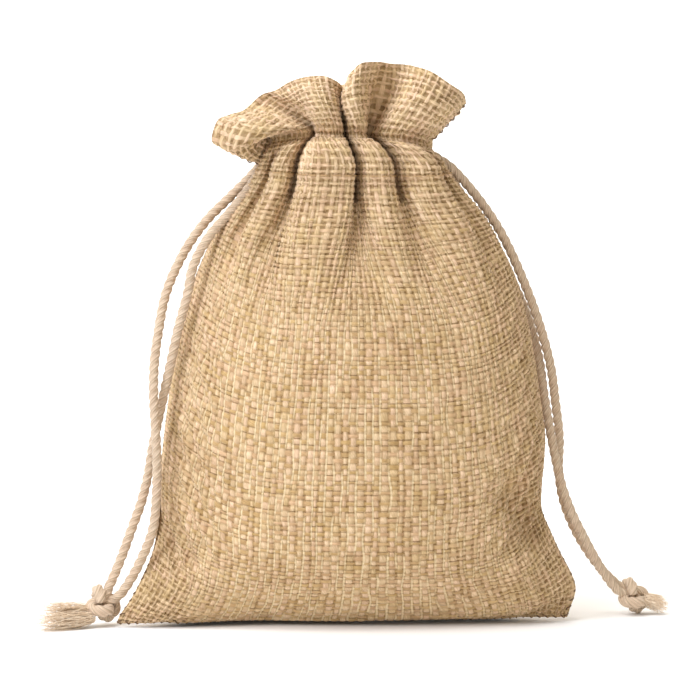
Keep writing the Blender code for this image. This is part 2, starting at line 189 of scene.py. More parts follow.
# The folded top edge of the ruffle's front: share of the cloth's width, x, y, z
FRONT_TOP = (
    (0, -31.2, -3, 132), (0.043, -36.8, -9, 134.2), (0.083, -40.6, -14, 136.4), (0.117, -39.4, -14.5, 141.4),
    (0.159, -35.5, -10, 143.4), (0.216, -30.4, -4, 145.2), (0.265, -26, -1, 149.1), (0.306, -21.7, -3, 150.7),
    (0.354, -17.8, -7, 153.2), (0.404, -13.1, -11, 154.6), (0.442, -8.8, -13, 154.4),
    (0.474, -5.1, -11, 152.9), (0.515, -3, -6, 151.2), (0.547, -2, -2, 152), (0.585, -2.3, -7, 153.5),
    (0.629, -1.5, -12, 156.1), (0.661, 1.1, -14.5, 158.2), (0.692, 4.6, -12, 158.9), (0.736, 8.1, -9, 158.8),
    (0.762, 11.5, -8.6, 158.5), (0.809, 15.9, -11, 158), (0.856, 20.7, -14, 156.5), (0.904, 25.9, -14, 153.1),
    (0.957, 30.8, -9, 150.6), (1, 32.3, -4, 148),
)
# How far each half of the ruffle swells from straight, halfway up it: share of the cloth's width, x, y, z
FRONT_SWELL = (
    (0, 2.2, -1, -4.8), (0.05, -0.4, -4, -4.6), (0.1, -2, -6, -3.6), (0.15, -1.5, -5, -0.6), (0.22, 0, -1, 1),
    (0.3, 0, 0.6, 0.6), (0.42, -1.6, -3.6, 1), (0.5, 0, 1, 0.6), (0.56, -1.6, -1.6, 0.6), (0.64, -3, -4.4, 1),
    (0.72, 0.6, 2.2, 0.4), (0.84, 1.5, -3.4, 1), (0.92, 1.4, -3, 0.6), (1, 0.4, -1, 0.2),
)
BACK_SWELL = (
    (0, 1.4, 1, -1.5), (0.08, -0.4, 2.6, -0.5), (0.16, 0, 2.6, 1), (1, 0, 2.6, 1),
)
# The folded top edge of the ruffle's back
BACK_TOP = (
    (0, -29, 1, 136.5), (0.06, -32, 6, 138.5), (0.12, -30.5, 12.5, 142.5), (0.18, -24, 17, 147),
    (0.23, -17, 13, 149), (0.27, -13, 8, 150), (0.31, -9.6, 12.6, 151.5), (0.37, -3.4, 18, 152.8),
    (0.42, 2.6, 17.6, 153.8), (0.46, 4.6, 12, 154), (0.485, 5, 7.6, 153.5), (0.51, 6.4, 12, 154.8),
    (0.56, 10.4, 18, 156.4), (0.62, 17, 19.4, 157.4), (0.68, 23, 16.4, 157.4), (0.73, 26, 11, 156),
    (0.77, 27.8, 8, 154), (0.81, 30.4, 11, 151.6), (0.87, 33, 14, 147.8), (0.93, 33, 9.6, 145.4),
    (1, 29, 4.6, 144.6),
)

# ---- curves and grids


def hermite(knots, values, at):
    """A smooth curve through values at increasing knots, read at any places."""
    knots, values, at = np.asarray(knots, float), np.asarray(values, float), np.asarray(at, float)
    flat = values.ndim == 1
    values = values.reshape(len(knots), -1)
    step = np.diff(knots)[:, None]
    slope = np.diff(values, axis=0) / step
    tangent = np.empty_like(values)
    tangent[1:-1] = (slope[:-1] * step[1:] + slope[1:] * step[:-1]) / (step[:-1] + step[1:])
    tangent[0], tangent[-1] = slope[0], slope[-1]
    i = np.clip(np.searchsorted(knots, at, side="right") - 1, 0, len(knots) - 2)
    h = step[i]
    t = np.clip((at - knots[i]) / h[:, 0], 0.0, 1.0)[:, None]
    found = (
        (1 + 2 * t) * (1 - t) ** 2 * values[i]
        + t * (1 - t) ** 2 * h * tangent[i]
        + t**2 * (3 - 2 * t) * values[i + 1]
        + t**2 * (t - 1) * h * tangent[i + 1]
    )
    return found[:, 0] if flat else found


def table(rows, at):
    """The values of a table whose rows start with a place, read smoothly at other places."""
    rows = np.asarray(rows, float)
    found = hermite(rows[:, 0], rows[:, 1:], at)
    return found[:, 0] if found.shape[1] == 1 else found


def gaps(points):
    """The distance from each point to the next."""
    return np.linalg.norm(np.diff(points, axis=0), axis=1)


def even_points(points, count):
    """Points at equal distances along a smooth curve through the given points."""
    points = np.asarray(points, float)
    chord = np.concatenate([[0], np.cumsum(gaps(points) ** 0.7)])
    dense = hermite(chord, points, np.linspace(0, chord[-1], 40 * len(points)))
    along = np.concatenate([[0], np.cumsum(gaps(dense))])
    wanted = np.linspace(0, along[-1], count)
    return np.stack([np.interp(wanted, along, dense[:, k]) for k in range(dense.shape[1])], axis=1)


def resample(grid, rows, columns):
    """A grid of points, smoothly read at another number of rows and columns."""
    r, c = grid.shape[:2]
    up = hermite(np.arange(r), grid.reshape(r, -1), np.linspace(0, r - 1, rows)).reshape(rows, c, 3)
    across = np.swapaxes(up, 0, 1).reshape(c, -1)
    wide = hermite(np.arange(c), across, np.linspace(0, c - 1, columns)).reshape(columns, rows, 3)
    return np.swapaxes(wide, 0, 1)


def smooth_step(low, high, at):
    t = np.clip((at - low) / (high - low), 0, 1)
    return t * t * (3 - 2 * t)


def soft_noise(x, y, seed, scale):
    """Slow, smooth unevenness from a few waves, the same every time."""
    dice = np.random.default_rng(seed)
    total = np.zeros(np.broadcast(x, y).shape)
    for _ in range(7):
        angle, phase = dice.uniform(0, 2 * math.pi, 2)
        wave = 2 * math.pi / scale * dice.uniform(0.6, 1.5)
        total = total + np.sin(wave * (x * math.cos(angle) + y * math.sin(angle)) + phase)
    return total / 7

# ---- the shape of the cloth


def turned_round(gathers):
    """The gathers of the back face: those of the front one, turned half round the pouch's middle."""
    return tuple((1 - u, -x, -y) for u, x, y in reversed(gathers))


def face_shape(rows, columns, below, above, top, swell, side):
    """Where each point of one face starts, before the cloth solver. side is -1 for the front."""
    v = np.linspace(0, CLOTH_HEIGHT, rows)
    u = np.linspace(0, 1, columns)
    across = 2 * u - 1
    middle_z, side_z = table(MIDDLE_HEIGHTS, v), table(SIDE_HEIGHTS, v)
    depth = table(MIDDLE_DEPTHS, v)[:, None]
    left, right = table(LEFT_OUTLINE, side_z)[:, None], table(RIGHT_OUTLINE, side_z)[:, None]
    half = np.where(across[None] < 0, left, right)
    z = side_z[:, None] + (middle_z - side_z)[:, None] * (1 - across[None] ** 4) ** 1.3
    share = 1.22 * across - 0.22 * across**3
    round_x = half * share[None]
    round_y = side * depth * np.sqrt(np.clip(1 - share**2, 0, 1))[None]

    low, high = table(below, u), table(above, u)
    turn = smooth_step(151, 161, v)[:, None]
    narrow = 1 + (table(SQUEEZE_ACROSS, v)[:, None] - 1) * (1 - across[None] ** 4)
    deep = table(SQUEEZE_DEEP, v)[:, None]
    low_x, low_y = low[None, :, 0] * half / GATHERED_HALF, low[None, :, 1] * depth / GATHERED_DEPTH
    folded_x = (low_x + (high[None, :, 0] - low_x) * turn) * narrow
    folded_y = (low_y + (high[None, :, 1] - low_y) * turn) * deep
    fold = smooth_step(100, 150, v)[:, None]
    x, y = round_x + (folded_x - round_x) * fold, round_y + (folded_y - round_y) * fold
    shape = np.stack([x, y + ear_forward(x, z), z], axis=2)

    edge, swell = table(top, u), table(swell, u)
    base_row = np.searchsorted(v, RUFFLE_LOW)
    base = shape[base_row].copy()
    for r in range(base_row, rows):
        w = (v[r] - v[base_row]) / (CLOTH_HEIGHT - v[base_row])
        shape[r] = base + (edge - base) * w + swell * math.sin(math.pi * w)
    return shape


def both_faces(rows, columns):
    """The front and the back before the cloth solver."""
    below, above = turned_round(GATHERS_BELOW), turned_round(GATHERS_ABOVE)
    front = face_shape(rows, columns, GATHERS_BELOW, GATHERS_ABOVE, FRONT_TOP, FRONT_SWELL, -1)
    return np.stack([front, face_shape(rows, columns, below, above, BACK_TOP, BACK_SWELL, 1)])


def ear_forward(x, z):
    """How far the bottom corners, both faces together, lie in front of the middle plane, as a negative y."""
    low = smooth_step(34.0, 3.0, z)
    left, right = smooth_step(20.0, 62.0, -x), smooth_step(20.0, 62.0, x)
    return -low * (LEFT_EAR * left + RIGHT_EAR * right)


def half_width(x, z):
    """The outline's half width at each height, on the side where x is."""
    shape = np.shape(z)
    left, right = table(LEFT_OUTLINE, z.ravel()), table(RIGHT_OUTLINE, z.ravel())
    return np.where(x.ravel() < 0, left, right).reshape(shape)


def filling_depth(x, z, side):
    """How deep the filling reaches from the middle plane at a place, seen from one face."""
    waist = np.exp(-(((z - 25.0) / 11.0) ** 2))
    half = (half_width(x, z) - 1.4) * (1 - 0.20 * smooth_step(30.0, 3.0, z)) - 3.0 * waist
    deep = table(FILLING_DEPTHS, (z.ravel() - 2.0) / 118.0).reshape(x.shape)
    lump = 1 + 0.04 * soft_noise(x, z, 11 + side, 55.0)
    return deep * lump * np.sqrt(np.clip(1 - np.abs(x / half) ** 2.2, 0, 1))


def depth_limit(x, z):
    """How far from the middle plane the cloth may reach, close to the edges of the outline."""
    half = half_width(x, z) + 0.8
    power = 0.39 + 0.25 * np.clip(1 - z / 30, 0, 1)
    most = table(DEPTH_LIMITS, z.ravel()).reshape(z.shape)
    return 0.4 + most * np.clip(1 - (x / half) ** 2, 0, 1) ** power


def evened(values):
    """Values on both faces' grids, each averaged with its neighbours: most of all across the cloth."""
    for axis, spread in ((1, 0.015), (2, 0.05)):
        count = values.shape[axis]
        gap = np.arange(count)[:, None] - np.arange(count)[None]
        weight = np.exp(-0.5 * (gap / (spread * count)) ** 2)
        weight /= weight.sum(axis=1, keepdims=True)
        values = np.moveaxis(np.tensordot(weight, values, axes=(1, axis)), 0, axis)
    return values


class Cloth:
    """Both faces as grids of points, kept at their woven lengths by moving neighbours towards or apart."""

    def __init__(self, shape, target):
        self.p = shape.copy()
        self.old = shape.copy()
        self.target = target
        _, self.rows, self.columns, _ = shape.shape
        self.v = np.linspace(0, CLOTH_HEIGHT, self.rows)
        # How far apart the threads lie: as in the target, evened out over its neighbourhood
        self.across = evened(np.linalg.norm(np.diff(target, axis=2), axis=3))[..., None]
        self.up = evened(np.linalg.norm(np.diff(target, axis=1), axis=3))[..., None]
        self.pinned = (self.v >= PINCH_LOW) & (self.v <= PINCH_HIGH)
        self.welded = self.v <= SLIT_LOW
        self.body = self.v < 142.0
        gathered = (0.06 + 0.28 * smooth_step(95, 140, self.v)) * (self.v < RUFFLE_LOW)
        ruffle = 0.05 * (self.v >= RUFFLE_LOW)
        self.hold = (gathered + ruffle)[None, :, None, None]

    def pull(self, first, second, length, strength):
        """Moves two sets of points along the lines between them, towards this distance."""
        a, b = self.p[first], self.p[second]
        d = b - a
        size = np.sqrt((d * d).sum(axis=-1, keepdims=True)) + 1e-9
        d *= strength * 0.5 * (size - length) / size
        self.p[first] = a + d
        self.p[second] = b - d

    def keep_lengths(self, bend, shear):
        """One sweep over the threads, the diagonals between them, and every second point along them."""
        s, every = slice, slice(None)
        for k in (0, 1):
            n = (self.columns - k) // 2 * 2 + k
            left, right = (every, every, s(k, n, 2)), (every, every, s(k + 1, n, 2))
            self.pull(left, right, self.across[left][:, :, : (n - k) // 2], 1.0)
            m = (self.rows - k) // 2 * 2 + k
            rows, above = s(k, m, 2), s(k + 1, m, 2)
            up = self.up[:, rows][:, : (m - k) // 2]
            self.pull((every, rows), (every, above), up, 1.0)
            slant = np.hypot(self.across[:, rows], up[:, :, 1:])
            self.pull((every, rows, s(0, -1)), (every, above, s(1, None)), slant, shear)
            self.pull((every, rows, s(1, None)), (every, above, s(0, -1)), slant, shear)
        for k in range(4):
            n = (self.columns - k + 1) // 4
            pairs = self.across[:, :, :-1] + self.across[:, :, 1:]
            left, right = (every, every, s(k, k + 4 * n, 4)), (every, every, s(k + 2, k + 4 * n, 4))
            self.pull(left, right, pairs[left], bend)
            m = (self.rows - k + 1) // 4
            pairs = self.up[:, :-1] + self.up[:, 1:]
            low, high = (every, s(k, k + 4 * m, 4)), (every, s(k + 2, k + 4 * m, 4))
            self.pull(low, high, pairs[low], bend)

    def normals(self):
        n = np.cross(np.gradient(self.p, axis=2), np.gradient(self.p, axis=1))
        n[1] = -n[1]
        return n / (np.linalg.norm(n, axis=-1, keepdims=True) + 1e-9)

    def weld(self):
        """Front and back share their side edges up to the slits, and their bottom edge."""
        for edge in (0, -1):
            self.p[:, self.welded, edge] = self.p[:, self.welded, edge].mean(axis=0)
        self.p[:, 0] = self.p[:, 0].mean(axis=0)

    def collide(self):
        """Keeps the cloth above the floor, outside the filling and inside the pouch's outline."""
        z = self.p[..., 2]
        z[z < FLOOR] = FLOOR
        for face, side in ((0, -1), (1, 1)):
            part = self.p[face, self.body]
            x, z = part[..., 0], part[..., 2]
            middle = ear_forward(x, z)
            y = (part[..., 1] - middle) * side
            inner, outer = filling_depth(x, z, side), depth_limit(x, z)
            y = np.where(y < inner, y + 0.8 * (inner - y), y)
            y = np.where(y > outer, y + 0.8 * (outer - y), y)
            part[..., 1] = middle + side * y
            self.p[face, self.body] = part

    def guide(self):
        """Side edges keep the outline, and the gathers and the ruffle's top edge keep near their places."""
        for edge in (0, -1):
            gap = self.target[:, self.welded, edge] - self.p[:, self.welded, edge]
            self.p[:, self.welded, edge] += 0.25 * gap
        self.p[:, -1] += 0.30 * (self.target[:, -1] - self.p[:, -1])
        self.p[:, 0] += 0.5 * (self.target[:, 0] - self.p[:, 0])
        self.p += self.hold * (self.target - self.p)
        self.p[:, self.pinned] = self.target[:, self.pinned]

    def settle(self, steps, sweeps, pressure, bend, shear, drag):
        swelling = pressure * (self.v < SLIT_LOW)[None, :, None, None]
        for _ in range(steps):
            moved = self.p + (self.p - self.old) * drag + self.normals() * swelling
            self.old = self.p.copy()
            self.p = moved
            for _ in range(sweeps):
                self.keep_lengths(bend, shear)
                self.weld()
                self.guide()
            self.collide()


def dented(points):
    """The front face pressed in, or swelled where the depth is negative, along a few short lines."""
    x, z = points[..., 0], points[..., 2]
    for x0, z0, x1, z1, width, depth in DENTS:
        run = np.array([x1 - x0, z1 - z0])
        share = np.clip(((x - x0) * run[0] + (z - z0) * run[1]) / (run @ run), 0, 1)
        gap = np.hypot(x - x0 - share * run[0], z - z0 - share * run[1])
        points[..., 1] += depth * np.exp(-((gap / width) ** 2))
    return points


def relaxed_cloth():
    """Both faces after the cloth solver, first on a coarse grid and then on one twice as fine."""
    rows, columns = 57, 41
    fine_rows, fine_columns = 2 * rows - 1, 2 * columns - 1
    coarse, target = both_faces(rows, columns), both_faces(fine_rows, fine_columns)
    cloth = Cloth(coarse, coarse)
    cloth.settle(steps=70, sweeps=6, pressure=0.05, bend=0.10, shear=0.35, drag=0.85)
    cloth = Cloth(np.stack([resample(face, fine_rows, fine_columns) for face in cloth.p]), target)
    cloth.settle(steps=70, sweeps=8, pressure=0.02, bend=0.22, shear=0.35, drag=0.8)
    cloth.p[0] = dented(cloth.p[0])
    # The ruffle is smoothed a little up the cloth
    loose = cloth.v > RUFFLE_LOW
    for _ in range(4):
        p = cloth.p.copy()
        p[:, 1:-1] = 0.25 * cloth.p[:, :-2] + 0.5 * cloth.p[:, 1:-1] + 0.25 * cloth.p[:, 2:]
        cloth.p[:, loose] = p[:, loose]
    return cloth

# ---- meshes


def make_piece(name, points, faces, uv, look, slot):
    """A smooth-shaded mesh object from points in millimetres and quads, with its material; slot picks the
    name of its UV map.
    """
    data = bpy.data.meshes.new(name)
    data.vertices.add(len(points))
    data.vertices.foreach_set("co", (np.asarray(points, float) * MM).ravel())
    faces = np.asarray(faces, int)
    data.loops.add(faces.size)
    data.loops.foreach_set("vertex_index", faces.ravel())
    data.polygons.add(len(faces))
    data.polygons.foreach_set("loop_start", np.arange(len(faces)) * faces.shape[1])
    data.update(calc_edges=True)
    layer = data.uv_layers.new(name="Cloth" if slot == "jute_cloth" else "Cord")
    layer.data.foreach_set("uv", np.asarray(uv, float)[faces.ravel()].ravel())
    data.validate()
    data.shade_smooth()
    data.materials.append(look)
    thing = bpy.data.objects.new(name, data)
    bpy.context.scene.collection.objects.link(thing)
    return thing


def grid_faces(rows, columns, closed=False, flip=False):
    """The quads of a grid of points. A closed one joins its last column to its first."""
    across = np.arange(columns if closed else columns - 1)
    r, c = np.meshgrid(np.arange(rows - 1), across, indexing="ij")
    a = r * columns + c
    b = r * columns + (c + 1) % columns
    faces = np.stack([a, b, b + columns, a + columns], axis=2).reshape(-1, 4)
    return faces[:, ::-1] if flip else faces


def thread_lines(threads, crossings, samples, seed, growth=0.0):
    """The lines between neighbouring threads, counted in threads, at each sample along them.

    Threads differ in thickness and wander a little. The first and the last line are straight. growth is how
    much wider than the mean the last threads are.
    """
    dice = np.random.default_rng(seed)
    widths = np.clip(dice.normal(1.0, 0.14, threads), 0.65, 1.45)
    widths = widths * np.linspace(1 - growth, 1 + growth, threads)
    lines = np.concatenate([[0], np.cumsum(widths)]) * threads / widths.sum()
    knots = np.linspace(0, crossings, crossings // 4)
    wander = dice.normal(0, 0.085, (len(knots), threads + 1))
    wander[:, (0, -1)] = 0
    return lines + hermite(knots, wander, np.arange(crossings * samples + 1) / samples)


def read_grid(grid, r, c):
    """A grid of points read at any row and column, between its points."""
    r0 = np.clip(np.floor(r).astype(int), 0, grid.shape[0] - 2)
    c0 = np.clip(np.floor(c).astype(int), 0, grid.shape[1] - 2)
    fr, fc = (r - r0)[..., None], (c - c0)[..., None]
    low = grid[r0, c0] * (1 - fc) + grid[r0, c0 + 1] * fc
    high = grid[r0 + 1, c0] * (1 - fc) + grid[r0 + 1, c0 + 1] * fc
    return low * (1 - fr) + high * fr


def thread_height(over, across, along, width):
    """Height of a thread near a crossing, in thread thicknesses: over is 1 where it is on top and -1 below.

    across and along run from -0.5 to 0.5 over the crossing, and width is the thread's share of its spacing.
    """
    wave = 0.5 * over * np.cos(np.pi * along) ** 0.7
    arch = 0.5 * np.sqrt(np.clip(1 - (2 * across / width) ** 2, 0, 1))
    return wave + arch - 2.0 * (2 * np.abs(across) > width)


def looseness(s, t, ramp, highest):
    """0 where the filling stretches the cloth and its threads lie flat, and up to 1 in the ruffle and ears.

    The mesh asks with arrays and the material with shader values. ramp rises from 0 to 1 between two places.
    """
    from_middle = abs(s - WARPS / 2)
    ear = ramp(*LOOSE_EAR, from_middle) * ramp(*LOOSE_LOW, t)
    side = 0.6 * ramp(*LOOSE_SIDE, from_middle) + 0.4 * ramp(*LOOSE_RIGHT, s)
    return highest(ramp(*LOOSE_HIGH, t), highest(ear, side))


def weave_relief(s, t, seed):
    """Height of an uneven plain weave over its middle plane, at thread counts s across and t up."""
    i, j = np.floor(s), np.floor(t)
    over = np.where((i + j) % 2 == 0, 1, -1)
    dice = np.random.default_rng(seed)
    width = dice.normal(0.0, 0.06, (int(t.max()) + 2, int(s.max()) + 2))[j.astype(int), i.astype(int)]
    loose = looseness(s, t, smooth_step, np.maximum)
    width = np.clip(width + 0.68 - 0.20 * loose, 0.40, 0.95)
    warp = thread_height(over, s - i - 0.5, t - j - 0.5, width)
    weft = thread_height(-over, t - j - 0.5, s - i - 0.5, width)
    return (0.42 + 0.26 * loose) * (np.maximum(np.maximum(warp, weft), -0.45) - 0.50) - 0.18


class Weave:
    """The surface of one face at the resolution of its threads."""

    def __init__(self, face, grid, side):
        self.face, self.side = face, side
        self.fine = resample(grid, WEFTS * UP + 1, WARPS * ACROSS + 1)
        normal = np.cross(np.gradient(self.fine, axis=1), np.gradient(self.fine, axis=0)) * -side
        self.normal = normal / (np.linalg.norm(normal, axis=2, keepdims=True) + 1e-9)

    def at(self, s, t):
        """Place and outward direction at thread counts s across and t up."""
        normal = read_grid(self.normal, t * UP, s * ACROSS)
        normal /= np.linalg.norm(normal, axis=-1, keepdims=True)
        return read_grid(self.fine, t * UP, s * ACROSS), normal

    def threads(self, wefts, seed):
        """The thread counts, across and along, of each sample of an uneven weave this many wefts long."""
        warp = thread_lines(WARPS, wefts, UP, seed)
        weft = thread_lines(wefts, WARPS, ACROSS, seed + 1, 0.07)
        s_even, t_even = np.arange(WARPS * ACROSS + 1) / ACROSS, np.arange(wefts * UP + 1) / UP
        s = np.stack([np.interp(s_even, np.arange(WARPS + 1), line) for line in warp])
        t = np.stack([np.interp(t_even, np.arange(wefts + 1), line) for line in weft], axis=1)
        return s, t, np.stack(np.meshgrid(s_even, t_even), axis=2)

    def outside(self, look):
        """The outer layer, from the bottom seam to the fold at the ruffle's top edge."""
        s, t, uv = self.threads(WEFTS, 100 + self.side)
        place, normal = self.at(s, t)
        sewn = smooth_step(0.0, 0.8, np.minimum(np.minimum(s, WARPS - s), t))
        folded = smooth_step(0.0, 0.5, WEFTS - t)
        relief = weave_relief(uv[..., 0], uv[..., 1], 7 + self.side) * sewn * folded
        return self.mesh("_cloth", place + normal * relief[..., None], uv, look)

    def hem(self, look):
        """The inner layer: the cloth turned down inside the ruffle and the cord casing."""
        s, t, uv = self.threads(HEM_WEFTS, 200 + self.side)
        place, normal = self.at(s, WEFTS - t)
        relief = weave_relief(uv[..., 0], uv[..., 1], 17 + self.side)
        turn = np.clip(t / 0.7, 0, 1)
        flat = smooth_step(0.0, 0.6, t) * smooth_step(0.0, 0.8, np.minimum(s, WARPS - s))
        inward = HEM_GAP * np.sqrt(1 - (1 - turn) ** 2) + relief * flat
        return self.mesh("_hem", place - normal * inward[..., None], uv + (0, WEFTS), look)

    def mesh(self, name, place, uv, look):
        faces = grid_faces(*place.shape[:2], flip=self.side > 0)
        points, uv = place.reshape(-1, 3), uv.reshape(-1, 2)
        return make_piece(self.face + name, points, faces, uv, look, "jute_cloth")

    def stitches(self, look):
        """The row of short stitches that holds the hem down, below the cord casing."""
        length, gap, steps, thickness = 1.15, 0.35, 7, 0.17
        runs = []
        for start in np.arange(0.6, WARPS - 1.6, length + gap):
            s = np.linspace(start, start + length, steps)
            place, normal = self.at(s, np.full(steps, WEFTS * STITCHED / CLOTH_HEIGHT))
            dip = np.sin(np.linspace(0, math.pi, steps)) ** 0.5
            runs.append(place + normal * (0.30 * dip - 0.06)[:, None])
        return thread_mesh(self.face + "_casing_stitches", runs, thickness, look)

# ---- materials


def sign(operation):
    """What one of the usual signs does between a shader value and another value or number."""
    return lambda a, b: a.nodes.math(operation, a, b)


class Value:
    """A number that a shader node works out. The usual signs combine it with others."""

    __add__, __sub__, __pow__ = sign("ADD"), sign("SUBTRACT"), sign("POWER")
    __truediv__, __gt__, __lt__ = sign("DIVIDE"), sign("GREATER_THAN"), sign("LESS_THAN")
    __mul__ = __rmul__ = sign("MULTIPLY")

    def __init__(self, nodes, socket):
        self.nodes, self.socket = nodes, socket

    def __rsub__(self, other):
        return self.nodes.math("SUBTRACT", other, self)

    def __abs__(self):
        return self.nodes.math("ABSOLUTE", self)


class Nodes:
    """A short way to write a material's node tree."""

    def __init__(self, name, roughness, specular, sheen=0.0):
        self.material = bpy.data.materials.new(name)
        self.material.use_nodes = True
        self.tree = self.material.node_tree
        self.shader = self.tree.nodes["Principled BSDF"]
        self.shader.inputs["Roughness"].default_value = roughness
        self.shader.inputs["Specular IOR Level"].default_value = specular
        self.shader.inputs["Sheen Weight"].default_value = sheen

    def add(self, kind, inputs, **settings):
        node = self.tree.nodes.new(kind)
        for key, value in settings.items():
            setattr(node, key, value)
        for key, value in inputs.items():
            value = value.socket if isinstance(value, Value) else value
            if isinstance(value, bpy.types.NodeSocket):
                self.tree.links.new(value, node.inputs[key])
            else:
                node.inputs[key].default_value = value
        return node

    def math(self, operation, a, b=0.0):
        return Value(self, self.add("ShaderNodeMath", {0: a, 1: b}, operation=operation).outputs[0])

    def highest(self, a, b):
        return self.math("MAXIMUM", a, b)

    def from_half(self, value):
        """How far a value's fraction is from a half."""
        return abs(self.math("FRACT", value) - 0.5)

    def scaled(self, value, low, high, bottom=0.0, top=1.0):
        """Value's span from low to high, turned into bottom to top and held there."""
        inputs = {0: value, 1: low, 2: high, 3: bottom, 4: top}
        return Value(self, self.add("ShaderNodeMapRange", inputs).outputs[0])

    def ramp(self, low, high, value):
        return self.scaled(value, low, high)

    def mix(self, factor, a, b, blend="MIX"):
        node = self.add("ShaderNodeMix", {0: factor, 6: a, 7: b}, data_type="RGBA", blend_type=blend)
        return node.outputs[2]

    def vector(self, x, y, z):
        return self.add("ShaderNodeCombineXYZ", {0: x, 1: y, 2: z}).outputs[0]

    def noise(self, vector, detail, scale=1.0):
        inputs = {"Vector": vector, "Scale": scale, "Detail": detail}
        return Value(self, self.add("ShaderNodeTexNoise", inputs).outputs[0])

    def dice(self, x, y, z):
        """A random number, the same wherever all three values are."""
        inputs = {"Vector": self.vector(x, y, z)}
        return Value(self, self.add("ShaderNodeTexWhiteNoise", inputs, noise_dimensions="3D").outputs[0])

    def place(self, name):
        """A place on the mesh's UV map, and its two numbers."""
        uv = self.add("ShaderNodeUVMap", {}, uv_map=name).outputs[0]
        split = self.add("ShaderNodeSeparateXYZ", {0: uv})
        return uv, Value(self, split.outputs[0]), Value(self, split.outputs[1])

    def paint(self, colour):
        self.tree.links.new(colour, self.shader.inputs["Base Color"])

    def bump(self, height, strength, distance):
        """Small relief. distance is in metres."""
        node = self.add("ShaderNodeBump", {"Strength": strength, "Distance": distance, "Height": height})
        self.tree.links.new(node.outputs[0], self.shader.inputs["Normal"])


def srgb(*levels):
    """A colour given as 0 to 255 display values, as linear light."""
    shares = [level / 255 for level in levels]
    return (*(v / 12.92 if v <= 0.04045 else ((v + 0.055) / 1.055) ** 2.4 for v in shares), 1.0)


# The cloth's threads: warp, weft, and what either turns towards along its length; and the pale colour of the
# painted highlights along thread edges
CLOTH_PALE, CLOTH_TAN = srgb(214, 186, 149), srgb(191, 158, 112)
CLOTH_ROSY, CLOTH_GOLD, CLOTH_EDGE_HIGHLIGHT = srgb(216, 176, 150), srgb(196, 165, 105), srgb(235, 215, 176)


